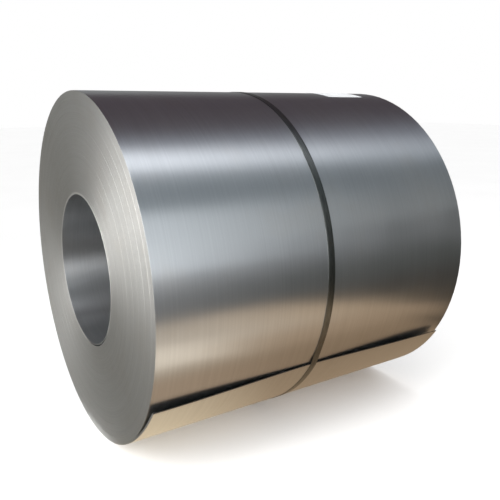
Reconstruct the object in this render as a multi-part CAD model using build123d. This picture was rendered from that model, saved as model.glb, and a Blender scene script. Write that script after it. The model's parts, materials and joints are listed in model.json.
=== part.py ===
from build123d import *
import os
from math import acos, cos, degrees, radians, sin, tan

# Coil of bare cold-rolled steel strip, lying on its side with one steel strap round its middle.
# Millimetres. The bore runs along X and Z is up. The origin is on the floor under the middle of the
# coil. The free end of the outer lap, the tail, is on the -Y side. Angles round the bore are in
# degrees, from +Y towards +Z.

# Strip and coil
strip_width = 1200.0
strip_thickness = 2.5
bore_diameter = 508.0
outside_diameter = 1170.0
lap_slack = 0.4

# Tail: the sprung end of the outer lap, tight under the strap and lifting towards both ends
tail_edge_angle = 210.0
tail_free_angle = 32.0
tail_root_angle = 3.0
tail_root_sink = 0.2
tail_lift = 12.0
tail_lift_power = 1.3
lift_station_shares = (-1.0, -0.72, -0.36, 0.0, 0.36, 0.72, 1.0)

# Turn lines: open laps on the two ends, as shares of the wall from the bore outwards
turn_line_shares = (0.05, 0.16, 0.30, 0.41, 0.55, 0.67, 0.80, 0.92)
turn_line_width = 2.4
turn_line_depth = 1.4

# Slack crescent behind the innermost lap
crescent_angle = 246.0
crescent_half_angle = 30.0
crescent_gap = 4.0

# Strap
strap_width = 25.0
strap_thickness = 1.0
strap_clearance = 0.3
strap_place = -11.5
strap_lean = 1.2

# Seal that grips the two overlapping strap ends
seal_angle = 76.0
seal_length = 44.0
seal_thickness = 1.2
seal_clearance = 0.2
seal_notch_radius = 3.0
seal_notch_shares = (-0.25, 0.25)
strap_end_length = 26.0

# Paper label
label_width = 170.0
label_length = 180.0
label_thickness = 0.3
label_glue = 0.1
label_edge_inset = 100.0
label_front_angle = 103.7

# One overrun serves all cuts
overrun = 5.0

# Worked out from the sizes above
half_width = strip_width / 2
bore_radius = bore_diameter / 2
outer_radius = outside_diameter / 2
lap_pitch = strip_thickness + lap_slack
half_turn = 180.0
up_angle = 90.0


def at_angle(angle, radius):
    """Point of the YZ section at an angle and a distance from the bore axis."""
    return Vector(radius * cos(radians(angle)), radius * sin(radians(angle)))


# The outer lap is a spiral of two half turns, each about a centre a quarter pitch off the axis
quarter_pitch = lap_pitch / 4
first_centre = at_angle(tail_edge_angle, quarter_pitch)
second_centre = -first_centre
first_radius = outer_radius + quarter_pitch
second_radius = outer_radius - quarter_pitch
under_radius = first_radius - lap_pitch
root_angle = tail_edge_angle + tail_free_angle
half_angle = tail_edge_angle + half_turn
axis_height = first_radius + strap_clearance + strap_thickness - first_centre.Y


def arc_degrees(length, radius):
    """Angle that a length takes up along an arc."""
    return degrees(length / radius)


def sector(centre, inner, outer, start, size):
    """Ring sector of the YZ section."""
    near_edge = CenterArc(centre, inner, start, size)
    far_edge = CenterArc(centre, outer, start, size)
    first_side = Line(near_edge @ 0, far_edge @ 0)
    last_side = Line(near_edge @ 1, far_edge @ 1)
    return make_face([near_edge, far_edge, first_side, last_side])


def along_bore(section, length):
    """Prism of a YZ section, as long to both sides of the middle."""
    return extrude(Plane.YZ * section, amount=length / 2, both=True)


def wound_body():
    """All the laps as one solid, without the free part of the outer one."""
    first_half = CenterArc(first_centre, first_radius, root_angle, half_angle - root_angle)
    second_half = CenterArc(second_centre, second_radius, half_angle, half_turn)
    under_tail = CenterArc(first_centre, under_radius, tail_edge_angle, tail_free_angle)
    root_step = Line(under_tail @ 1, first_half @ 0)
    return along_bore(make_face([first_half, second_half, under_tail, root_step]), strip_width)


def tail_section(lift):
    """Section of the free tail, which straightens a little as its edge lifts off the lap below."""
    free_length = first_radius * radians(tail_free_angle)
    sprung_radius = 1 / (1 / first_radius - 2 * lift / free_length**2)
    sprung_centre = first_centre - at_angle(root_angle, sprung_radius - first_radius + tail_root_sink)
    free_angle = arc_degrees(free_length, sprung_radius)
    return sector(
        sprung_centre, sprung_radius - strip_thickness, sprung_radius,
        root_angle - free_angle, free_angle + tail_root_angle,
    )


def tail():
    """Free end of the outer lap, lofted from the strap out to both ends."""
    sections = []
    for share in lift_station_shares:
        lift = tail_lift * sin(radians(up_angle) * abs(share)) ** tail_lift_power
        place = strap_place + share * (half_width - strap_place if share > 0 else half_width + strap_place)
        sections.append(Plane.YZ.offset(place) * tail_section(lift))
    return loft(sections)


def turn_lines(side):
    """V grooves on one end, where laps stand a little apart."""
    groove = None
    for share in turn_line_shares:
        radius = bore_radius + share * (under_radius - bore_radius)
        foot = Vector(side * half_width, radius)
        outside = Vector(side * overrun, 0)
        half_groove = Vector(0, turn_line_width / 2)
        bottom = foot - Vector(side * turn_line_depth, 0)
        profile = make_face(
            Polyline(bottom, foot + half_groove, foot + half_groove + outside,
                     foot - half_groove + outside, foot - half_groove, close=True)
        )
        ring = revolve(profile, Axis.X)
        groove = ring if groove is None else groove + ring
    return groove


def slack_crescent():
    """Gap behind the innermost lap, between its own circle and a smaller one set off centre."""
    lap_radius = bore_radius + strip_thickness
    sagitta = lap_radius * (1 - cos(radians(crescent_half_angle)))
    shift = crescent_gap * (crescent_gap + 2 * lap_radius) / (2 * (sagitta + crescent_gap))
    bulge = Pos(at_angle(crescent_angle, shift)) * Circle(lap_radius + crescent_gap - shift)
    return along_bore(bulge - Circle(lap_radius), strip_width + 2 * overrun)


def coil():
    """Wound strip with its bore, sprung tail and open turns."""
    body = wound_body() + tail()
    body -= along_bore(Circle(bore_radius), strip_width + 2 * overrun)
    body -= slack_crescent()
    for side in (-1, 1):
        body -= turn_lines(side)
    return body


def strap_outline(standoff):
    """Line of the strap round the laps, straight where it steps down past the tail's edge."""
    first_reach = first_radius + standoff
    second_reach = second_radius + standoff
    tail_corner = first_centre + at_angle(tail_edge_angle, first_reach)
    touch_angle = degrees(acos(second_reach / (tail_corner - second_centre).length))
    first_half = CenterArc(first_centre, first_reach, tail_edge_angle, half_turn)
    second_half = CenterArc(second_centre, second_reach, half_angle, half_turn - touch_angle)
    return make_face([first_half, second_half, Line(second_half @ 1, first_half @ 0)])


strap_inner = second_radius + strap_clearance
strap_outer = strap_inner + strap_thickness


def leaning_slab(width):
    """Slab across the coil at the strap's place and lean, which trims a band to its width."""
    reach = 2 * outside_diameter
    return Pos(strap_place, 0, 0) * Rot(0, strap_lean, 0) * Box(width, reach, reach)


def strap():
    """Flat steel band with one end lapped over the other inside the seal."""
    band = strap_outline(strap_clearance + strap_thickness) - strap_outline(strap_clearance)
    lap_size = arc_degrees(seal_length + strap_end_length, strap_outer)
    lap_start = seal_angle - arc_degrees(seal_length / 2, strap_outer)
    lapped_end = sector(second_centre, strap_outer, strap_outer + strap_thickness, lap_start, lap_size)
    return along_bore(band + lapped_end, strip_width) & leaning_slab(strap_width)


def strap_seal():
    """Sheet sleeve folded over both strap ends, nipped twice along each side."""
    size = arc_degrees(seal_length, strap_outer)
    start = seal_angle - size / 2
    roof_radius = strap_outer + strap_thickness + seal_clearance
    channel_width = strap_width + 2 * seal_clearance
    sleeve_width = channel_width + 2 * seal_thickness
    sheet = sector(second_centre, strap_inner, roof_radius + seal_thickness, start, size)
    channel = sector(second_centre, bore_radius, roof_radius, start - size, 3 * size)
    sleeve = along_bore(sheet, strip_width) & leaning_slab(sleeve_width)
    sleeve -= along_bore(channel, strip_width) & leaning_slab(channel_width)
    notch = Rot(0, up_angle, 0) * Cylinder(seal_notch_radius, 2 * seal_thickness)
    for share in seal_notch_shares:
        angle = seal_angle + share * size
        middle = strap_place + strap_inner * sin(radians(angle)) * tan(radians(strap_lean))
        for side in (-1, 1):
            side_place = middle + side * sleeve_width / 2
            turned = Pos(0, second_centre.X, second_centre.Y) * Rot(angle, 0, 0)
            sleeve -= turned * Pos(side_place, strap_inner, 0) * notch
    return sleeve


def label():
    """Paper label glued over the top near one end."""
    inner = second_radius + label_glue
    size = arc_degrees(label_length, inner)
    sheet = sector(second_centre, inner, inner + label_thickness, label_front_angle - size, size)
    start = half_width - label_edge_inset - label_width
    return extrude(Plane.YZ.offset(start) * sheet, amount=label_width)


nodes = {
    "coil": coil(),
    "strap": strap(),
    "strap_seal": strap_seal(),
    "label": label(),
}
os.makedirs("parts", exist_ok=True)
for name, shape in nodes.items():
    export_step(Pos(0, 0, axis_height) * shape, f"parts/{name}.step")
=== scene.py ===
# %% [markdown]
# # A steel coil in its finish
# The solid coil, its strap, seal and label come from the frame at their real size. Here each of
# them is modelled again as a finished piece: the coil as a real spiral with its turns showing on
# both ends and its outer lap springing open, the strap as one band with lapped ends.
# Everything is in metres, in the frame's own axes: the bore along X, the floor at zero.

# %% Load the frame
import json
import math

import bpy
import numpy as np
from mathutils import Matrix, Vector


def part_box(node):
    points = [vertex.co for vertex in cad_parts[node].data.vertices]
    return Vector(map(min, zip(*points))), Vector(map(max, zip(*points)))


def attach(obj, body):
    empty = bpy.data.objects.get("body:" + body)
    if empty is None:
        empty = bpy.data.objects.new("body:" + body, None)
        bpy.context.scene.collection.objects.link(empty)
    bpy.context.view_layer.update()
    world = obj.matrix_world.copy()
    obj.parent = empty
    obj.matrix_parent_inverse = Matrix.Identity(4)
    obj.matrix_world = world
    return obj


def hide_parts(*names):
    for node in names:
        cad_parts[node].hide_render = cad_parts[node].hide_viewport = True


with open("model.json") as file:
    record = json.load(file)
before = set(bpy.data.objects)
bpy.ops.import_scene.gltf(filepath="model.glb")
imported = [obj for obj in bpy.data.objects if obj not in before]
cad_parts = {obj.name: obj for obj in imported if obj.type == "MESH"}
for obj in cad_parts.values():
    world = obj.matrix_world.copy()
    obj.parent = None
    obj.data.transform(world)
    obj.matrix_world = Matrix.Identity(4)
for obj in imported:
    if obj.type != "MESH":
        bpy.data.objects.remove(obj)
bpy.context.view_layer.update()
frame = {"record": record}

MM = 0.001

# %% [markdown]
# ## Sizes from the frame
# The bore is stated as a mount, so its centre and radius are read there. The strip's width and the
# coil's outside come from the coil's own box. Angles are in degrees round the bore, from the back
# (+Y) up over the top, so the front of the coil is at 180 and the floor at 270.

# %% Read the sizes
eye = next(mount for mount in frame["record"]["mounts"] if mount["name"] == "eye")
eye_centre = Vector(eye["pos_m"])
bore_radius = eye["dims"]["r_mm"] * MM
coil_low, coil_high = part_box("coil")
half_width = (coil_high.x - coil_low.x) / 2
outer_radius = (coil_high.y - coil_low.y) / 2
print("bore", bore_radius, "outside", outer_radius, "half width", half_width)


def to_rolled(points):
    """Place along the bore, distance from it and angle round it, for an array of points."""
    across = points[:, 1] - eye_centre.y
    up = points[:, 2] - eye_centre.z
    return points[:, 0].copy(), np.hypot(across, up), np.degrees(np.arctan2(up, across)) % 360


def from_rolled(along, radius, angle):
    """Points for places given along the bore, out from it and round it."""
    turn = np.radians(angle)
    across = eye_centre.y + radius * np.cos(turn)
    return np.column_stack([along, across, eye_centre.z + radius * np.sin(turn)])


# %% [markdown]
# ## Camera
# A camera can be placed by eye, or worked out from what the picture shows. The two rims, the bore
# and the straight outlines of this coil fix it closely: it stands a little above the bore, off the
# near left end. The lens follows from how strongly the far rim shrinks.

# %% Place the camera
camera_from_eye = Vector((-1.1639, -1.9074, 0.5390))
aim_from_eye = Vector((0.0447, -0.0320, -0.0111))
camera_lens = 42.37
camera_sensor = 36.0

camera_data = bpy.data.cameras.new("camera")
camera_data.sensor_fit = "HORIZONTAL"
camera_data.sensor_width = camera_sensor
camera_data.lens = camera_lens
camera = bpy.data.objects.new("camera", camera_data)
bpy.context.scene.collection.objects.link(camera)
camera.location = eye_centre + camera_from_eye
camera.rotation_euler = (aim_from_eye - camera_from_eye).to_track_quat("-Z", "Y").to_euler()
bpy.context.scene.camera = camera
print("camera at", tuple(round(c, 3) for c in camera.location))

# %% [markdown]
# ## Helpers for modelling
# An operator works on everything that is selected, so each piece starts with nothing selected.
# Points are read and written as one array, which is quicker than vertex by vertex.

# %% Small helpers


def select_nothing():
    """Back to object mode with nothing selected."""
    if bpy.context.object and bpy.context.object.mode != "OBJECT":
        bpy.ops.object.mode_set(mode="OBJECT")
    bpy.ops.object.select_all(action="DESELECT")


def select_only(piece):
    """Makes one piece the active one, with nothing else selected."""
    select_nothing()
    bpy.context.view_layer.objects.active = piece
    piece.select_set(True)


def read_points(piece):
    """All vertex places of a mesh as an array."""
    flat = np.zeros(len(piece.data.vertices) * 3)
    piece.data.vertices.foreach_get("co", flat)
    return flat.reshape(-1, 3)


def write_points(piece, points):
    """Puts an array of places back into a mesh."""
    piece.data.vertices.foreach_set("co", np.ascontiguousarray(points).ravel())
    piece.data.update()


def apply_modifier(piece, kind, **settings):
    """Adds one modifier with its settings and applies it."""
    select_only(piece)
    modifier = piece.modifiers.new(kind.lower(), kind)
    for name, value in settings.items():
        setattr(modifier, name, value)
    bpy.ops.object.modifier_apply(modifier=modifier.name)


def smooth_by_angle(piece, limit):
    """Smooth shading, with edges sharper than the limit in degrees kept crisp."""
    select_only(piece)
    bpy.ops.object.shade_smooth_by_angle(angle=math.radians(limit))


# %% [markdown]
# ## The coil's section
# A coil is one strip wound on itself. Modelling every lap would hide nearly all of its faces, so
# only what shows is made: the bore, the outer lap and the edge of every turn on both ends. The
# section through the wall is one closed line, and a circle with as many vertices as the line needs
# is its start. Each turn gets two shoulders and a groove.

# %% Draw the section as one closed line
lap_count = 129
tail_edge_angle = 209.25
tail_free_angle = 32.75
root_angle = tail_edge_angle + tail_free_angle
shoulder_shares = (0.22, 0.78)
outer_stations = 25
bore_stations = 5

lap_pitch = (outer_radius - bore_radius) / (lap_count - 0.5)
root_radius = outer_radius + lap_pitch / 2


def end_radii():
    """Radii of the section's points over one end, from the bore outwards."""
    radii = [bore_radius]
    for lap in range(lap_count):
        inner = bore_radius + lap * lap_pitch
        radii += [inner + share * lap_pitch for share in shoulder_shares]
        radii.append(inner + lap_pitch)
    return radii


near_end = [(-half_width, radius) for radius in end_radii()]
far_end = [(half_width, radius) for radius in reversed(end_radii())]
outer_line = [(x, root_radius) for x in np.linspace(-half_width, half_width, outer_stations)[1:-1]]
bore_line = [(x, bore_radius) for x in np.linspace(half_width, -half_width, bore_stations)[1:-1]]
section = np.array(near_end + outer_line + far_end + bore_line)

select_nothing()
bpy.ops.mesh.primitive_circle_add(vertices=len(section), radius=root_radius)
coil = bpy.context.object
coil.name = "wound_coil"
write_points(coil, from_rolled(section[:, 0], section[:, 1], np.full(len(section), root_angle)))
print("section points", len(section), "lap pitch in mm", round(lap_pitch / MM, 3))

# %% [markdown]
# ## Spin the section
# Spin turns the section round the bore and gives plain rings. A Screw modifier could turn it too,
# but Spin keeps the copies in a known order, and the winding below relies on it.

# %% Spin the section
spin_steps = 96
bpy.ops.object.mode_set(mode="EDIT")
bpy.ops.mesh.select_all(action="SELECT")
bpy.ops.mesh.spin(
    steps=spin_steps, dupli=False, angle=-math.tau, use_auto_merge=False,
    center=eye_centre, axis=(1, 0, 0),
)
bpy.ops.object.mode_set(mode="OBJECT")
print("vertices after the spin", len(coil.data.vertices))

# %% [markdown]
# ## How the strip's edge lies
# The strip wanders a little sideways while it is wound, so neighbouring laps stand a fraction of a
# millimetre proud of each other, and a few laps lie open. Three waves along the strip give the
# wander. They run on smoothly from one turn to the next, which noise on each lap would not.

# %% Let the edge wander
groove_depth = 0.2 * MM
open_groove_depth = 0.7 * MM
open_lap_shares = (0.05, 0.16, 0.30, 0.41, 0.55, 0.67, 0.80, 0.92)
open_lap_spread = 0.7
wander_depth = 0.6 * MM
wander_waves = ((1.0, 0.41, 0.0), (0.7, 1.37, 0.8), (0.6, 3.9, 2.0))


def wander(winding):
    """How far the strip's edge lies back from the coil's full width, along its length in turns."""
    waves = sum(size * np.sin(rate * winding + start) for size, rate, start in wander_waves)
    full_swing = 2 * sum(size for size, _, _ in wander_waves)
    return wander_depth * (0.5 + waves / full_swing)


def open_groove(winding):
    """Extra depth of the grooves beside the few laps that lie open."""
    extra = np.zeros_like(winding)
    for share in open_lap_shares:
        extra += np.clip(1 - np.abs(winding - share * lap_count) / open_lap_spread, 0, 1)
    return open_groove_depth * extra


print("open laps", len(open_lap_shares), "wander in mm", round(wander_depth / MM, 2))

# %% [markdown]
# ## Wind the rings
# A strip doesn't make rings: it gains one thickness a turn. So every copy is moved in by its share
# of a lap, and after the full turn each lap meets the one below it and the seam can be merged. The
# outermost laps are rounded off a little at the rim.

# %% Wind the rings into a spiral
seam_slack = 0.01
groove_slack = 0.05
bore_rim_depth = 0.6 * MM
rim_round_laps = 1.6
rim_round_depth = 1.3 * MM

points = read_points(coil)
along, ring_radius, angle = to_rolled(points)
turned = (angle - root_angle) % 360
turned[turned < seam_slack] = 360.0
turned[turned > 360 - seam_slack] = 360.0
turned[:len(section)] = 0.0
print("second copy turned by", round(float(turned[len(section)]), 2), "degrees")

turn_share = turned / 360
laps_out = (ring_radius - bore_radius) / lap_pitch
in_first_lap = laps_out < 1
wound = np.where(in_first_lap, laps_out * (1 - turn_share), laps_out - turn_share)
lap_index = np.floor(laps_out + groove_slack)
at_groove = np.abs(laps_out - np.round(laps_out)) < groove_slack
edge_depth = wander(lap_index - turn_share)
between = (wander(lap_index - turn_share) + wander(lap_index - 1 - turn_share)) / 2
grooved = between + groove_depth + open_groove(lap_index - turn_share)
edge_depth = np.where(at_groove, grooved, edge_depth)
fade = np.where(in_first_lap | (lap_index == 1) & at_groove, 1 - turn_share, 1.0)
edge_depth = bore_rim_depth + (edge_depth - bore_rim_depth) * fade
edge_depth = np.where(laps_out < groove_slack, bore_rim_depth, edge_depth)
rim = np.clip((wound - (lap_count - turn_share - rim_round_laps)) / rim_round_laps, 0, 1)
edge_depth = edge_depth * (1 - rim) + rim_round_depth * rim**2
on_ends = np.abs(along) > half_width - MM
along = np.where(on_ends, np.sign(along) * (half_width - edge_depth), along)
write_points(coil, from_rolled(along, bore_radius + wound * lap_pitch, root_angle + turned))

# %% Merge the seam
merge_distance = 0.02 * MM

bpy.ops.object.mode_set(mode="EDIT")
bpy.ops.mesh.select_all(action="SELECT")
bpy.ops.mesh.remove_doubles(threshold=merge_distance)
bpy.ops.object.mode_set(mode="OBJECT")
print("wound coil vertices", len(coil.data.vertices))

# %% [markdown]
# ## The sprung tail
# The outer lap ends in a cut edge that only the strap holds down, so it springs open towards both
# ends of the coil. The merged spiral is still open where the strip steps up by one lap. That open
# loop is spun back round the coil to make the free part, and closed at its cut edge.

# %% Spin the tail out of the open step
strap_low, strap_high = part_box("strap")
strap_place = (strap_low.x + strap_high.x) / 2
tail_steps = 14
edge_angle = 0.9
edge_steps = 4

select_only(coil)
wound_count = len(coil.data.vertices)
bpy.ops.object.mode_set(mode="EDIT")
bpy.ops.mesh.select_mode(type="EDGE")
bpy.ops.mesh.select_all(action="DESELECT")
bpy.ops.mesh.select_non_manifold(
    extend=False, use_wire=False, use_boundary=True, use_multi_face=False,
    use_non_contiguous=False, use_verts=False,
)
for steps, size in ((tail_steps, tail_free_angle - edge_angle), (edge_steps, edge_angle)):
    bpy.ops.mesh.spin(
        steps=steps, dupli=False, angle=math.radians(size), use_auto_merge=False,
        center=eye_centre, axis=(1, 0, 0),
    )
bpy.ops.mesh.fill(use_beauty=True)
bpy.ops.object.mode_set(mode="OBJECT")
print("tail vertices", len(coil.data.vertices) - wound_count)

# %% [markdown]
# ## Lift the tail
# Sheet that springs off a roll bends evenly, so its lift grows with the square of the free length:
# a little at the strap, most at the two ends. Its corners draw in as they lift. Both faces of the
# sheet move out alike, which keeps it as thick as it was.

# %% Lift the tail
near_lift, near_lift_power = 11.2 * MM, 1.7
far_lift, far_lift_power = 13.4 * MM, 1.2
near_draw_in, far_draw_in = 8.0 * MM, 31.0 * MM
draw_in_power = 1.5
tail_slack = 3.8 * MM
edge_curl = 0.4 * MM

points = read_points(coil)
along, radius, angle = to_rolled(points)
free = np.arange(len(points)) >= wound_count
back = np.where(free, (root_angle - angle) % 360, 0.0)
print("tail runs back", round(float(back.max()), 2), "degrees")
reach = np.where(along > strap_place, half_width - strap_place, half_width + strap_place)
from_strap = np.clip(np.abs(along - strap_place) / reach, 0, 1)
bow = np.sin(from_strap * math.pi / 2)
lift = tail_slack + np.where(
    along > strap_place, far_lift * bow**far_lift_power, near_lift * bow**near_lift_power
)
curl = np.clip((back - (tail_free_angle - edge_angle)) / edge_angle, 0, 1) ** 2
radius = radius + lap_pitch * back / 360 + lift * (back / tail_free_angle) ** 2 - edge_curl * curl
draw_in = np.where(along < 0, near_draw_in, far_draw_in) * (back / tail_free_angle) ** draw_in_power
along = along * (1 - draw_in / half_width)
write_points(coil, from_rolled(along, radius, angle))

# %% [markdown]
# ## A slack lap in the bore
# The innermost lap has come away from the next one over a stretch near the bottom, which leaves a
# dark crescent. The groove between the two is pushed deep into the coil there and the laps outside
# it give way, so it is a real gap and not a painted line.

# %% Open the crescent
crescent_angle = 246.0
crescent_half_angle = 30.0
crescent_gap = 4.0 * MM
crescent_depth = 90.0 * MM
crescent_fade_laps = 14.0
gap_from_lap, gap_to_lap = 0.6, 1.4
beyond_from_lap = 0.9
end_band = 4.0 * MM

points = read_points(coil)
along, radius, angle = to_rolled(points)
off_middle = np.abs((angle - crescent_angle + 180) % 360 - 180) / crescent_half_angle
shape = np.clip(1 - off_middle**2, 0, 1)
laps_out = (radius - bore_radius) / lap_pitch
spiral = laps_out + ((angle - root_angle) % 360) / 360
at_groove = np.abs(spiral - np.round(spiral)) < groove_slack
on_ends = np.abs(along) > half_width - end_band
in_gap = on_ends & at_groove & (laps_out > gap_from_lap) & (laps_out < gap_to_lap)
beyond = on_ends & ~in_gap & (laps_out > beyond_from_lap)
push = np.where(beyond, np.exp(-(laps_out - 1) / crescent_fade_laps), np.where(in_gap, 0.5, 0.0))
radius = radius + crescent_gap * shape * push
along = np.where(in_gap, along - np.sign(along) * crescent_depth * shape, along)
write_points(coil, from_rolled(along, radius, angle))
print("vertices moved for the crescent", int((in_gap & (shape > 0)).sum()))

# %% [markdown]
# ## Normals and shading
# Spinning can turn faces inside out, so the normals are made to point outwards. Smooth shading by
# angle keeps sharp edges crisp and the round faces even.

# %% Finish the coil's mesh
coil_crease_limit = 38

select_only(coil)
bpy.ops.object.mode_set(mode="EDIT")
bpy.ops.mesh.select_all(action="SELECT")
bpy.ops.mesh.normals_make_consistent(inside=False)
bpy.ops.object.mode_set(mode="OBJECT")
smooth_by_angle(coil, coil_crease_limit)


def triangle_count(piece):
    """Number of triangles that a mesh's faces come to."""
    return sum(len(face.vertices) - 2 for face in piece.data.polygons)


print("coil triangles", triangle_count(coil))

# %% [markdown]
# ## A map along the strip
# The map runs across the strip in U and along it in V, on the ends out from the bore in U, so that
# the rolling lines and the brushed shine can follow the strip wherever it goes. Unwrapping could
# give a map too, but not one that is true to the metre. The same step gives each face its finish.

# %% Map the strip
end_normal = 0.5
cut_edge_slot = 2
cut_edge_slack = 0.01


def map_strip(piece):
    """Map in metres: across the strip, or out over an end, in U and round the coil in V."""
    mesh = piece.data
    along, radius, angle = to_rolled(read_points(piece))
    face_count = len(mesh.polygons)
    corner_vertex = np.zeros(len(mesh.loops), dtype=np.int64)
    mesh.loops.foreach_get("vertex_index", corner_vertex)
    corners = np.zeros(face_count, dtype=np.int64)
    mesh.polygons.foreach_get("loop_total", corners)
    normals = np.zeros(face_count * 3)
    mesh.polygons.foreach_get("normal", normals)
    on_end = np.abs(normals.reshape(-1, 3)[:, 0]) > end_normal
    corner_face = np.repeat(np.arange(face_count), corners)
    turn = angle[corner_vertex]
    lowest = np.full(face_count, 1e9)
    highest = np.full(face_count, -1e9)
    np.minimum.at(lowest, corner_face, turn)
    np.maximum.at(highest, corner_face, turn)
    crosses = (highest - lowest)[corner_face] > 180
    turn = np.where(crosses & (turn < 180), turn + 360, turn)
    across = np.where(on_end[corner_face], radius[corner_vertex], along[corner_vertex])
    strip_map = mesh.uv_layers.new(name="strip")
    flat = np.column_stack([across, np.radians(turn) * outer_radius]).ravel()
    strip_map.data.foreach_set("uv", flat.astype(np.float32))
    mesh.polygons.foreach_set("material_index", on_end.astype(np.int32))


def mark_cut_edge(piece):
    """Gives the faces of the tail's cut edge the third finish."""
    centres = np.array([face.center for face in piece.data.polygons])
    angle = to_rolled(centres)[2]
    for index in np.flatnonzero(np.abs(angle - tail_edge_angle) < cut_edge_slack):
        piece.data.polygons[index].material_index = cut_edge_slot


map_strip(coil)
mark_cut_edge(coil)
print("cut edge faces", sum(face.material_index == cut_edge_slot for face in coil.data.polygons))

# %% [markdown]
# ## The strap
# Steel strapping comes off a reel as one flat band, so it starts as a flat grid as long as the band
# and is wrapped round. It follows the coil's spiral, eases down from the tail's edge to the lap
# below, and its last stretch climbs over its own start inside the seal.

# %% Follow the outside of the coil
strap_width = 25.0 * MM
strap_thickness = 1.0 * MM
strap_clearance = 0.3 * MM
strap_lean = math.radians(1.2)
strap_columns, strap_steps = 4, 240
seal_angle = 76.0
seal_length = 44.0 * MM
strap_end_length = 26.0 * MM
climb_angle = 3.0
climb_share = 1.05
step_down_angle = 8.4


def coil_outside(turn):
    """Outside radius of the strapped coil at angles round it, easing down past the tail's edge."""
    from_tail = (turn - tail_edge_angle) % 360
    surface = root_radius - lap_pitch * (from_tail - tail_free_angle) / 360
    down = np.clip((from_tail - (360 - step_down_angle)) / step_down_angle, 0, 1)
    sprung = np.clip(1 - from_tail / tail_free_angle, 0, 1)
    return surface + (lap_pitch + tail_slack) * down**2 + tail_slack * sprung**2


def wrapped_grid(name, across_steps, along_steps):
    """Flat grid from -1 to 1 each way, ready to be wrapped round the coil."""
    select_nothing()
    bpy.ops.mesh.primitive_grid_add(x_subdivisions=across_steps, y_subdivisions=along_steps, size=2)
    piece = bpy.context.object
    piece.name = name
    points = read_points(piece)
    return piece, points[:, 0], points[:, 1]


def lean_with_strap(along, radius, angle):
    """Shifts places sideways so that they lean with the strap."""
    return along + strap_place + radius * np.sin(np.radians(angle)) * math.tan(strap_lean)


print("outside under the seal", round(float(coil_outside(seal_angle)), 4))

# %% [markdown]
# ## Wrap and thicken the strap
# The grid's long side becomes the way round the coil, with a soft climb where the end laps over the
# start. Solidify then gives the sheet its thickness, outwards only, and a small bevel takes the
# sharpness off its edges.

# %% Wrap the strap
sheet_crease_limit = 40
strap_edge_round = 0.25 * MM

lap_start = seal_angle - math.degrees(seal_length / 2 / outer_radius)
lap_size = math.degrees((seal_length + strap_end_length) / outer_radius)
strap, across, run = wrapped_grid("strap_band", strap_columns, strap_steps)
turn = lap_start + (run + 1) / 2 * (360 + lap_size)
climb = np.clip((turn - (lap_start + 360 - climb_angle)) / climb_angle, 0, 1)
climb = climb * climb * (3 - 2 * climb)
radius = coil_outside(turn) + strap_clearance + climb * strap_thickness * climb_share
along = lean_with_strap(across * strap_width / 2, radius, turn)
write_points(strap, from_rolled(along, radius, turn))


def face_outwards(piece):
    """Turns an open sheet's faces away from the bore."""
    face = piece.data.polygons[0]
    outward = Vector((0, face.center.y - eye_centre.y, face.center.z - eye_centre.z))
    if face.normal.dot(outward) < 0:
        piece.data.flip_normals()


face_outwards(strap)
apply_modifier(strap, "SOLIDIFY", thickness=strap_thickness, offset=1.0)
apply_modifier(strap, "BEVEL", width=strap_edge_round, segments=2, limit_method="ANGLE")
smooth_by_angle(strap, sheet_crease_limit)
print("strap triangles", triangle_count(strap))

# %% [markdown]
# ## The seal
# A short sheet sleeve is folded over both strap ends and nipped twice along each side. A grid is
# folded into the sleeve's open section, laid along the strap and pinched where the tool bites.

# %% Fold the seal
seal_thickness = 1.2 * MM
seal_play = 0.3 * MM
seal_edge_round = 0.2 * MM
seal_steps = 44
seal_fold = (
    (-1, 0), (-1, 0.45), (-1, 0.85), (-0.93, 1), (-0.5, 1), (0, 1),
    (0.5, 1), (0.93, 1), (1, 0.85), (1, 0.45), (1, 0),
)
side_from = 0.9
nip_shares = (-0.5, 0.5)
nip_reach = 4.0 * MM
nip_bite = 1.6 * MM
nip_in_share, nip_down_share = 0.5, 0.4

seal, across, run = wrapped_grid("strap_seal_sleeve", len(seal_fold) - 1, seal_steps)
column = np.round((across + 1) / 2 * (len(seal_fold) - 1)).astype(int)
sideways, upward = np.array(seal_fold)[column].T
seal_height = 2 * strap_thickness + seal_play
offset = run * seal_length / 2
turn = seal_angle + np.degrees(offset / outer_radius)
bite = sum(np.exp(-((offset - share * seal_length / 2) / nip_reach) ** 4) for share in nip_shares)
pinch = (np.abs(sideways) > side_from) * bite * nip_bite
along = sideways * (strap_width / 2 + seal_play) - np.sign(sideways) * pinch * nip_in_share
radius = coil_outside(turn) + strap_clearance + upward * seal_height
radius = radius - pinch * nip_down_share * upward
write_points(seal, from_rolled(lean_with_strap(along, radius, turn), radius, turn))
top_face = max(seal.data.polygons, key=lambda face: face.center.z)
if top_face.normal.z < 0:
    seal.data.flip_normals()
apply_modifier(seal, "SOLIDIFY", thickness=seal_thickness, offset=1.0)
apply_modifier(seal, "BEVEL", width=seal_edge_round, segments=2, limit_method="ANGLE")
smooth_by_angle(seal, sheet_crease_limit)
print("seal triangles", triangle_count(seal))

# %% [markdown]
# ## The label
# A sheet of paper glued over the top never lies quite flat: its free corners lift and it has soft
# creases. A fine grid is laid on the coil and moved by a few waves before it gets its thickness.

# %% Lay the label
label_low, label_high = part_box("label")
label_thickness = 0.3 * MM
label_lift = 1.6 * MM
label_crease = 0.25 * MM
label_glue = 0.2 * MM
label_columns, label_steps = 60, 44
second_corner_share = 0.6
crease_waves = ((9, 3), (-2, 5))

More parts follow.
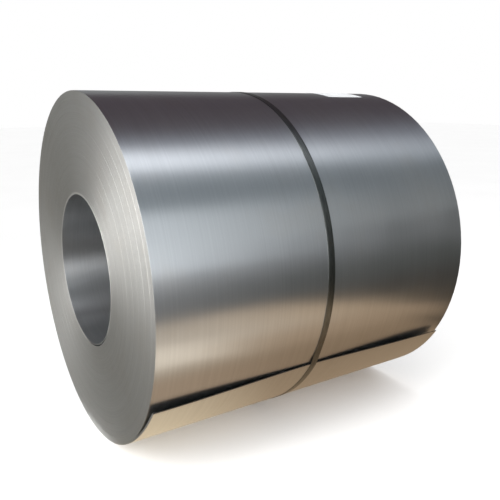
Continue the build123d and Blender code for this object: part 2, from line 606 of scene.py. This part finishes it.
label, across, run = wrapped_grid("paper_label", label_columns, label_steps)
front_turn = math.degrees(math.acos(label_low.y / outer_radius))
back_turn = math.degrees(math.acos(label_high.y / outer_radius))
turn = back_turn + (run + 1) / 2 * (front_turn - back_turn)
along = label_low.x + (across + 1) / 2 * (label_high.x - label_low.x)
to_far, to_near = np.clip(across * 0.5 + 0.5, 0, 1), np.clip(0.5 - across * 0.5, 0, 1)
to_front, to_back = np.clip(run * 0.5 + 0.5, 0, 1), np.clip(0.5 - run * 0.5, 0, 1)
corner = to_far**6 * to_back**4
corner += second_corner_share * to_near**8 * to_front**6
first_wave, second_wave = (np.sin(a * across + b * run) for a, b in crease_waves)
crease = first_wave * second_wave * 0.5 + 0.5
radius = coil_outside(turn) + label_glue + label_lift * corner + label_crease * crease
write_points(label, from_rolled(along, radius, turn))
face_outwards(label)
apply_modifier(label, "SOLIDIFY", thickness=label_thickness, offset=1.0)
smooth_by_angle(label, sheet_crease_limit)
print("label triangles", triangle_count(label))

# %% [markdown]
# ## Helpers for materials
# A material is a tree of nodes. The same few steps come back in every finish, such as stretched
# noise, a colour ramp or a bump, so each gets a small helper that adds its nodes and links them.

# %% Node helpers


def node_material(name):
    """New material with its nodes, links and shader."""
    material = bpy.data.materials.new(name)
    material.use_nodes = True
    tree = material.node_tree
    return material, tree, tree.nodes["Principled BSDF"]


def stretched_noise(tree, source, scale, detail=4.0, roughness=0.6):
    """Noise whose pattern is stretched by a scale on each axis."""
    mapping = tree.nodes.new("ShaderNodeMapping")
    mapping.inputs["Scale"].default_value = scale
    noise = tree.nodes.new("ShaderNodeTexNoise")
    noise.inputs["Scale"].default_value = 1.0
    noise.inputs["Detail"].default_value = detail
    noise.inputs["Roughness"].default_value = roughness
    tree.links.new(source, mapping.inputs["Vector"])
    tree.links.new(mapping.outputs["Vector"], noise.inputs["Vector"])
    return noise.outputs["Fac"]


def ramp(tree, value, stops):
    """Colour ramp over a value, from pairs of place and colour."""
    node = tree.nodes.new("ShaderNodeValToRGB")
    while len(node.color_ramp.elements) < len(stops):
        node.color_ramp.elements.new(0.5)
    for element, (place, colour) in zip(node.color_ramp.elements, stops):
        element.position = place
        element.color = (*colour, 1.0)
    tree.links.new(value, node.inputs["Fac"])
    return node.outputs["Color"]


def map_range(tree, value, low, high):
    """Value between 0 and 1 spread over a range."""
    node = tree.nodes.new("ShaderNodeMapRange")
    node.inputs["To Min"].default_value = low
    node.inputs["To Max"].default_value = high
    tree.links.new(value, node.inputs["Value"])
    return node.outputs["Result"]


def combine(tree, operation, first, second):
    """One step of arithmetic on two values, either of which may be a number."""
    node = tree.nodes.new("ShaderNodeMath")
    node.operation = operation
    for socket, value in zip(node.inputs, (first, second)):
        if isinstance(value, (int, float)):
            socket.default_value = value
        else:
            tree.links.new(value, socket)
    return node.outputs["Value"]


def mix_colour(tree, share, first, second):
    """Blend of two colours by a share; either may be a plain colour."""
    node = tree.nodes.new("ShaderNodeMix")
    node.data_type = "RGBA"
    tree.links.new(share, node.inputs["Factor"])
    for name, value in (("A", first), ("B", second)):
        socket = next(s for s in node.inputs if s.name == name and s.type == "RGBA")
        if isinstance(value, tuple):
            socket.default_value = (*value, 1.0)
        else:
            tree.links.new(value, socket)
    return next(s for s in node.outputs if s.type == "RGBA")


def object_coordinates(tree):
    """Places on the piece itself, in metres."""
    return tree.nodes.new("ShaderNodeTexCoord").outputs["Object"]


def strip_coordinates(tree):
    """The coil's own map, and the brushing direction across the strip."""
    uv = tree.nodes.new("ShaderNodeUVMap")
    uv.uv_map = "strip"
    tangent = tree.nodes.new("ShaderNodeTangent")
    tangent.direction_type = "UV_MAP"
    tangent.uv_map = "strip"
    return uv.outputs["UV"], tangent.outputs["Tangent"]


def add_bump(tree, shader, height, strength, distance):
    """Fine relief on a shader."""
    bump = tree.nodes.new("ShaderNodeBump")
    bump.inputs["Strength"].default_value = strength
    bump.inputs["Distance"].default_value = distance
    tree.links.new(height, bump.inputs["Height"])
    tree.links.new(bump.outputs["Normal"], shader.inputs["Normal"])


# %% [markdown]
# ## The rolled face
# Bare rolled steel is a mirror with fine lines along the strip: reflections stay fairly sharp
# round the coil and smear across it. That is what anisotropy does, with its tangent across the
# strip. Noise stretched along the strip gives the lines, and broad noise gives oil and handling
# marks.

# %% Rolled face of the strip
def rolled_steel():
    """Bare cold-rolled face with fine lines along the strip and faint oil marks."""
    material, tree, shader = node_material("rolled_steel_face")
    place, tangent = strip_coordinates(tree)
    objects = object_coordinates(tree)
    fine = stretched_noise(tree, place, (900.0, 5.0, 1.0), 3.0)
    lines = stretched_noise(tree, place, (160.0, 1.2, 1.0), 4.0)
    bands = stretched_noise(tree, place, (14.0, 0.25, 1.0), 2.0)
    marks = stretched_noise(tree, objects, (5.0, 5.0, 5.0), 5.0, 0.65)
    steel = ramp(tree, lines, [(0.3, (0.575, 0.585, 0.595)), (0.7, (0.64, 0.65, 0.66))])
    steel = mix_colour(tree, map_range(tree, bands, 0.0, 0.22), steel, (0.54, 0.55, 0.565))
    oil = ramp(tree, marks, [(0.52, (0, 0, 0)), (0.75, (1, 1, 1))])
    steel = mix_colour(tree, combine(tree, "MULTIPLY", oil, 0.25), steel, (0.52, 0.49, 0.45))
    tree.links.new(steel, shader.inputs["Base Color"])
    shader.inputs["Metallic"].default_value = 1.0
    shader.inputs["Anisotropic"].default_value = 0.75
    tree.links.new(tangent, shader.inputs["Tangent"])
    smears = combine(tree, "MULTIPLY", marks, 0.08)
    rough = combine(tree, "ADD", map_range(tree, fine, 0.24, 0.31), smears)
    tree.links.new(rough, shader.inputs["Roughness"])
    add_bump(tree, shader, combine(tree, "ADD", fine, lines), 0.04, 0.3 * MM)
    return material


# %% [markdown]
# ## The strip's edges
# On the ends the slit edges of the strip show. They are rougher and duller than its face, each lap
# a little lighter or darker than the next, and a lighter band round the bore is a painted highlight
# of the bore's rim. Noise stretched far along the strip keeps to one lap. The tail's own cut edge is
# coloured very dark.

# %% Sheared edges of the strip
# Width of the painted highlight along the bore's rim.
bore_highlight_band = 9.0 * MM


def slit_edges():
    """Edges of the laps on the coil's ends, each lap a little lighter or darker than the next."""
    material, tree, shader = node_material("slit_strip_edges")
    place, tangent = strip_coordinates(tree)
    objects = object_coordinates(tree)
    laps = stretched_noise(tree, place, (390.0, 0.15, 1.0), 2.0)
    rings = stretched_noise(tree, place, (60.0, 0.3, 1.0), 3.0)
    speckle = stretched_noise(tree, objects, (160.0, 160.0, 160.0), 3.0)
    marks = stretched_noise(tree, objects, (7.0, 7.0, 7.0), 5.0, 0.6)
    steel = ramp(tree, laps, [(0.25, (0.515, 0.51, 0.495)), (0.75, (0.62, 0.615, 0.595))])
    steel = mix_colour(tree, map_range(tree, rings, 0.0, 0.4), steel, (0.50, 0.49, 0.47))
    steel = mix_colour(tree, map_range(tree, speckle, 0.0, 0.35), steel, (0.47, 0.46, 0.43))
    dirt = ramp(tree, marks, [(0.5, (0, 0, 0)), (0.78, (1, 1, 1))])
    steel = mix_colour(tree, combine(tree, "MULTIPLY", dirt, 0.25), steel, (0.44, 0.40, 0.35))
    outwards = tree.nodes.new("ShaderNodeSeparateXYZ")
    tree.links.new(place, outwards.inputs["Vector"])
    # Painted highlight: the edges are coloured lighter within 9 mm of the bore, standing in for the
    # bright line on its rim.
    ring = tree.nodes.new("ShaderNodeMapRange")
    ring.inputs["From Min"].default_value = bore_radius + bore_highlight_band
    ring.inputs["From Max"].default_value = bore_radius + bore_highlight_band / 2
    tree.links.new(outwards.outputs["X"], ring.inputs["Value"])
    steel = mix_colour(tree, ring.outputs["Result"], steel, (0.80, 0.79, 0.765))
    tree.links.new(steel, shader.inputs["Base Color"])
    shader.inputs["Metallic"].default_value = 1.0
    shader.inputs["Anisotropic"].default_value = 0.52
    tree.links.new(tangent, shader.inputs["Tangent"])
    tree.links.new(map_range(tree, laps, 0.53, 0.58), shader.inputs["Roughness"])
    add_bump(tree, shader, speckle, 0.03, 0.3 * MM)
    return material


def cut_edge():
    """Sheared edge of the tail, coloured very dark, with faintly browner patches."""
    material, tree, shader = node_material("cut_tail_edge")
    objects = object_coordinates(tree)
    edge_mottle = stretched_noise(tree, objects, (18.0, 120.0, 120.0), 4.0)
    colour = ramp(tree, edge_mottle, [(0.35, (0.035, 0.034, 0.032)), (0.75, (0.10, 0.085, 0.07))])
    tree.links.new(colour, shader.inputs["Base Color"])
    shader.inputs["Metallic"].default_value = 0.7
    shader.inputs["Roughness"].default_value = 0.6
    add_bump(tree, shader, edge_mottle, 0.2, 0.2 * MM)
    return material


# %% [markdown]
# ## Strap, seal and paper
# Strapping is blackened and rusts a little where it is rubbed. The seal is much the same steel,
# only duller, so one function makes both. The label is blank matt paper.

# %% Strap, seal and paper
def strap_steel(name, dark, light, roughness):
    """Blackened strapping with rubbed, slightly rusty patches."""
    material, tree, shader = node_material(name)
    objects = object_coordinates(tree)
    grain = stretched_noise(tree, objects, (240.0, 30.0, 30.0), 4.0)
    worn = stretched_noise(tree, objects, (30.0, 12.0, 12.0), 5.0, 0.7)
    colour = ramp(tree, grain, [(0.3, dark), (0.8, light)])
    rust = ramp(tree, worn, [(0.58, (0, 0, 0)), (0.74, (1, 1, 1))])
    colour = mix_colour(tree, combine(tree, "MULTIPLY", rust, 0.4), colour, (0.15, 0.11, 0.07))
    tree.links.new(colour, shader.inputs["Base Color"])
    shader.inputs["Metallic"].default_value = 1.0
    rough = map_range(tree, worn, roughness - 0.06, roughness + 0.1)
    tree.links.new(rough, shader.inputs["Roughness"])
    add_bump(tree, shader, grain, 0.08, 0.2 * MM)
    return material


def label_paper():
    """Blank matt paper with faint fibres and handling marks."""
    material, tree, shader = node_material("blank_label_paper")
    objects = object_coordinates(tree)
    fibre = stretched_noise(tree, objects, (500.0, 500.0, 500.0), 3.0)
    marks = stretched_noise(tree, objects, (22.0, 22.0, 22.0), 4.0)
    colour = ramp(tree, marks, [(0.35, (0.68, 0.70, 0.72)), (0.75, (0.57, 0.58, 0.58))])
    colour = mix_colour(tree, map_range(tree, fibre, 0.0, 0.12), colour, (0.52, 0.53, 0.54))
    tree.links.new(colour, shader.inputs["Base Color"])
    shader.inputs["Roughness"].default_value = 0.75
    add_bump(tree, shader, fibre, 0.2, 0.1 * MM)
    return material


# %% [markdown]
# ## Put the finishes on
# The coil carries three finishes, in the order of the numbers that its faces were given: rolled
# face, slit edges, cut edge. The other pieces have one each.

# %% Put the finishes on
strap_dark, strap_light, strap_roughness = (0.132, 0.138, 0.132), (0.23, 0.235, 0.224), 0.3
seal_dark, seal_light, seal_roughness = (0.10, 0.105, 0.11), (0.18, 0.185, 0.19), 0.42

coil.data.materials.append(rolled_steel())
coil.data.materials.append(slit_edges())
coil.data.materials.append(cut_edge())
strap.data.materials.append(
    strap_steel("blackened_strap", strap_dark, strap_light, strap_roughness)
)
seal.data.materials.append(strap_steel("dull_seal", seal_dark, seal_light, seal_roughness))
label.data.materials.append(label_paper())
print("finishes on the coil", [material.name for material in coil.data.materials])

# %% [markdown]
# ## What moves with what
# The part has no joint, so all pieces ride on its one body. Each stands for the solid of the same
# thing in the frame, and names the slot that its finish belongs to.

# %% Tie the pieces to the frame
for piece, node, slot in (
    (coil, "coil", "coil_steel"),
    (strap, "strap", "strap_steel"),
    (seal, "strap_seal", "seal_steel"),
    (label, "label", "label_paper"),
):
    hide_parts(node)
    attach(piece, "root")
    print(piece.name, "stands for", node)

# %% [markdown]
# ## Floor
# A plain matt floor catches the coil's shadow and shows where it stands. It is far larger than the
# view, so that its edges stay out of sight.

# %% Floor
def pale_floor():
    """Matt pale floor with very faint unevenness."""
    material, tree, shader = node_material("pale_floor")
    objects = object_coordinates(tree)
    mottle = stretched_noise(tree, objects, (0.8, 0.8, 0.8), 3.0)
    pale = ramp(tree, mottle, [(0.3, (0.955, 0.955, 0.955)), (0.7, (0.98, 0.98, 0.98))])
    tree.links.new(pale, shader.inputs["Base Color"])
    shader.inputs["Roughness"].default_value = 0.9
    return material


floor_size = 60.0
select_nothing()
bpy.ops.mesh.primitive_plane_add(size=floor_size)
floor = bpy.context.object
floor.name = "floor"
floor.data.materials.append(pale_floor())
print("floor of", floor_size, "metres")

# %% [markdown]
# ## White surroundings
# One white background of strength 1 lights the coil evenly from all round. The camera and the
# reflections see the same white, so no ray needs a background of its own.

# %% White surroundings
world = bpy.data.worlds.new("white_surroundings")
bpy.context.scene.world = world
world.use_nodes = True
background = world.node_tree.nodes["Background"]
background.inputs["Color"].default_value = (1, 1, 1, 1)
print("background strength", background.inputs["Strength"].default_value)

# %% [markdown]
# ## What the coil mirrors
# Polished metal shows its surroundings more than its colour. A photographer lights it with soft
# boxes and shapes what it mirrors with cards. To place a card, the camera's view is followed to the
# coil and on to what it mirrors there. The cards are set for this one camera: from elsewhere the
# coil mirrors other parts of them.

# %% Find what the coil mirrors
card_ring = 2.6
card_gap = 4 * MM


def mirrored_on_coil(front_angle):
    """Point that the camera sees mirrored in the coil at an angle above its front.

    It lies on the floor, or on a ring round the bore if the mirrored view meets that first.
    """
    turn = math.radians(180 - front_angle)
    outward = Vector((math.cos(turn), math.sin(turn)))
    start = outward * outer_radius
    view = (start - camera_from_eye.yz).normalized()
    view = view - 2 * view.dot(outward) * outward
    forward = start.dot(view)
    reach = math.sqrt(forward**2 + card_ring**2 - outer_radius**2) - forward
    if view.y < 0:
        reach = min(reach, (card_gap - eye_centre.z - start.y) / view.y)
    meet = start + view * reach
    return Vector((0, eye_centre.y + meet.x, eye_centre.z + meet.y))


print("mirrored level with the bore", tuple(round(c, 2) for c in mirrored_on_coil(0)))

# %% [markdown]
# ## Cards that only reflections see
# A card is a plane with a plain glow, hidden from the camera, from matt surfaces and from shadows.
# Its colour may fade from one end to the other. A card beside the coil is given by the two angles on
# the coil's front between which it is to show.

# %% Make a card
side_fade = (0.3, 2.4)
card_from, card_to = -3.0, 5.5


def glowing(name, left_colour, right_colour, fade):
    """Plain glow that changes evenly from one colour to the other between two places along X."""
    material = bpy.data.materials.new(name)
    material.use_nodes = True
    tree = material.node_tree
    place = tree.nodes.new("ShaderNodeSeparateXYZ")
    tree.links.new(object_coordinates(tree), place.inputs["Vector"])
    share = tree.nodes.new("ShaderNodeMapRange")
    share.inputs["From Min"].default_value = fade[0]
    share.inputs["From Max"].default_value = fade[1]
    tree.links.new(place.outputs["X"], share.inputs["Value"])
    glow = tree.nodes.new("ShaderNodeEmission")
    colour = mix_colour(tree, share.outputs["Result"], left_colour, right_colour)
    tree.links.new(colour, glow.inputs["Color"])
    tree.links.new(glow.outputs["Emission"], tree.nodes["Material Output"].inputs["Surface"])
    return material


def card(name, corners, left_colour, right_colour, fade):
    """Card between four corners, seen by nothing but reflections."""
    select_nothing()
    bpy.ops.mesh.primitive_plane_add(size=2)
    piece = bpy.context.object
    piece.name = name
    write_points(piece, np.array(corners))
    piece.data.materials.append(glowing(name, left_colour, right_colour, fade))
    piece.visible_camera = False
    piece.visible_diffuse = False
    piece.visible_shadow = False


def side_card(
    name, low_edge, high_edge, left_colour, right_colour,
    fade=side_fade, span=(card_from, card_to), rise=0.0,
):
    """Card beside the coil that the camera sees mirrored between two edges on its front.

    An edge is an angle above the front and what it gains with each metre along the bore.
    """
    corners = []
    for angle, gain in (low_edge, high_edge):
        for x in span:
            point = mirrored_on_coil(angle + gain * x)
            corners.append((x, point.y, point.z + rise))
    card(name, corners, left_colour, right_colour, fade)


# %% [markdown]
# ## Cards beside the coil
# Down to the floor line these cards stand on a ring round the bore, light and dark by turns. The
# next one slopes from the ring to the floor, and the rest lie on the floor in warm colours.

# %% Stand the side cards
over_back, behind_top, over_top = (92, 0), (77, 0), (51, 0)
strip_top, strip_foot = (45.4, -1.2), (39.2, -0.8)
high_foot, mid_foot, level_foot = (27.6, -1.35), (15, 1), (11, 0)
floor_line, dark_foot, turn_foot = (7, 0), (-1.2, 0), (-11, 0)
warm_foot, brown_foot, near_foot = (-17.5, 0), (-29, 0), (-58, 0)

for name, *look in (
    ("skyline", behind_top, over_back, (0.32, 0.33, 0.33), (0.32, 0.33, 0.33)),
    ("behind_top", over_top, behind_top, (0.082, 0.066, 0.077), (0.072, 0.056, 0.066)),
    ("over_top", strip_top, over_top, (0.16, 0.17, 0.21), (0.14, 0.15, 0.19)),
    ("strip", strip_foot, strip_top, (1.65, 1.72, 1.82), (0.74, 0.80, 0.86)),
    ("front_high", high_foot, strip_foot, (0.19, 0.228, 0.255), (0.08, 0.097, 0.105), (0.3, 2.6)),
    ("front_mid", mid_foot, high_foot, (0.95, 1.02, 1.07), (0.12, 0.13, 0.127), (0.15, 1.45)),
    ("front_level", level_foot, mid_foot, (1.0, 1.07, 1.13), (0.03, 0.033, 0.03), (0.1, 1.4)),
    ("front_low", floor_line, level_foot, (0.21, 0.22, 0.23), (0.03, 0.033, 0.03), (0.3, 2.0)),
    ("floor_dark", dark_foot, floor_line, (0.20, 0.21, 0.22), (0.05, 0.055, 0.05), (-0.35, 1.0)),
    ("floor_turn", turn_foot, dark_foot, (0.74, 0.64, 0.52), (0.62, 0.445, 0.28), (-0.1, 0.6)),
    ("floor_warm", warm_foot, turn_foot, (0.57, 0.47, 0.355), (0.50, 0.355, 0.23), (-0.4, 0.1)),
    ("floor_brown", brown_foot, warm_foot, (0.50, 0.365, 0.25), (0.34, 0.235, 0.145), (-0.4, 0.1)),
):
    side_card("card_" + name, *look)
    print("card", name, "from", look[0][0], "to", look[1][0], "degrees")

# %% [markdown]
# ## Cards over the floor cards
# The warm cards are too even by themselves. Shorter dark ones lie a little above them towards the
# far end, and a bright one towards the near end.

# %% Lay the short floor cards
shade_colour = (0.03, 0.029, 0.026)
glow_colour = (1.25, 1.1, 0.9)
dusk_foot, shade_foot, rim_foot, gap_foot = (-6, 0), (-13, 0), (-21.5, 0), (-29.5, 0)
glow_top, glow_foot = (-7.5, 0), (-14.5, 0)

for name, low_edge, high_edge, colour, span in (
    ("dusk", dusk_foot, dark_foot, shade_colour, (0.6, card_to)),
    ("shade", shade_foot, dusk_foot, shade_colour, (0.82, card_to)),
    ("rim", rim_foot, shade_foot, shade_colour, (1.0, card_to)),
    ("gap", gap_foot, rim_foot, shade_colour, (0.85, card_to)),
    ("glow", glow_foot, glow_top, glow_colour, (card_from, -0.12)),
):
    side_card("card_floor_" + name, low_edge, high_edge, colour, colour, span=span, rise=card_gap)
    print("floor card", name, "from", span[0], "to", span[1], "metres")

near_warm, near_brown, near_fade = (0.90, 0.73, 0.50), (0.42, 0.30, 0.19), (-0.5, 0.0)
side_card("card_floor_near", near_foot, brown_foot, near_warm, near_brown, near_fade)

# %% [markdown]
# ## Cards off the near end
# The flat end mirrors what stands off it: a card behind, one on the floor and one to the left. One
# more stands beyond the bore, so that the inside of the bore mirrors something dark.

# %% Stand the end cards
end_light, end_dark = (0.64, 0.64, 0.607), (0.012, 0.013, 0.012)
end_low, end_side = (0.23, 0.23, 0.217), (0.06, 0.06, 0.056)
bore_dark = (0.015, 0.016, 0.016)
even_fade = (0.0, 1.0)
over_floor = 2 * card_gap


def rectangle(low, high):
    """Four corners of a rectangle, from two opposite ones that share a coordinate."""
    xs, ys, zs = (sorted({first, last}) for first, last in zip(low, high))
    return [(x, y, z) for z in zs for y in ys for x in xs]


for name, low, high, *look in (
    ("end_back", (-5.0, 3.6, 0.0), (0.5, 3.6, 4.5), end_light, end_dark, (-2.7, -1.3)),
    (
        "end_floor", (-5.0, -2.4, over_floor), (-0.62, 3.6, over_floor),
        end_side, end_low, (-3.2, -1.3),
    ),
    ("end_left", (-5.2, -3.0, 0.0), (-5.2, 4.0, 4.0), end_side, end_side, even_fade),
    ("beyond_bore", (0.9, -0.5, 0.1), (0.9, 0.5, 1.1), bore_dark, bore_dark, even_fade),
):
    card("card_" + name, rectangle(low, high), *look)
    print("card", name, "between", low, "and", high)

# %% [markdown]
# ## Soft boxes
# A large soft light gives soft shadows and broad, quiet highlights. The left one has a narrower
# spread, as from a grid over its front. The top one is kept out of the reflections.

# %% Soft boxes
def soft_box(name, place, aim, size, power, spread=180):
    """Rectangular soft light at a place, turned towards a point."""
    lamp = bpy.data.lights.new(name, "AREA")
    lamp.shape = "RECTANGLE"
    lamp.size, lamp.size_y = size
    lamp.energy = power
    lamp.spread = math.radians(spread)
    box = bpy.data.objects.new(name, lamp)
    bpy.context.scene.collection.objects.link(box)
    box.location = place
    box.rotation_euler = (Vector(aim) - Vector(place)).to_track_quat("-Z", "Y").to_euler()
    print(name, power, "watts")
    return box


soft_box("soft_box_left", (-2.7, -1.0, 2.0), (0, -1.1, 0.4), (2.5, 2.7), 36.0, 90)
soft_box("soft_box_front", (-1.9, -2.3, 0.92), (0, 0, 0.5), (1.2, 0.95), 38.0)
top_light = soft_box("soft_box_top", (0.0, -1.0, 4.5), (0, 0, 0.5), (3.0, 2.0), 40.0)
top_light.visible_glossy = False

# %% [markdown]
# ## View
# Standard view shows colours as they are written.

# %% View
bpy.context.scene.view_settings.view_transform = "Standard"
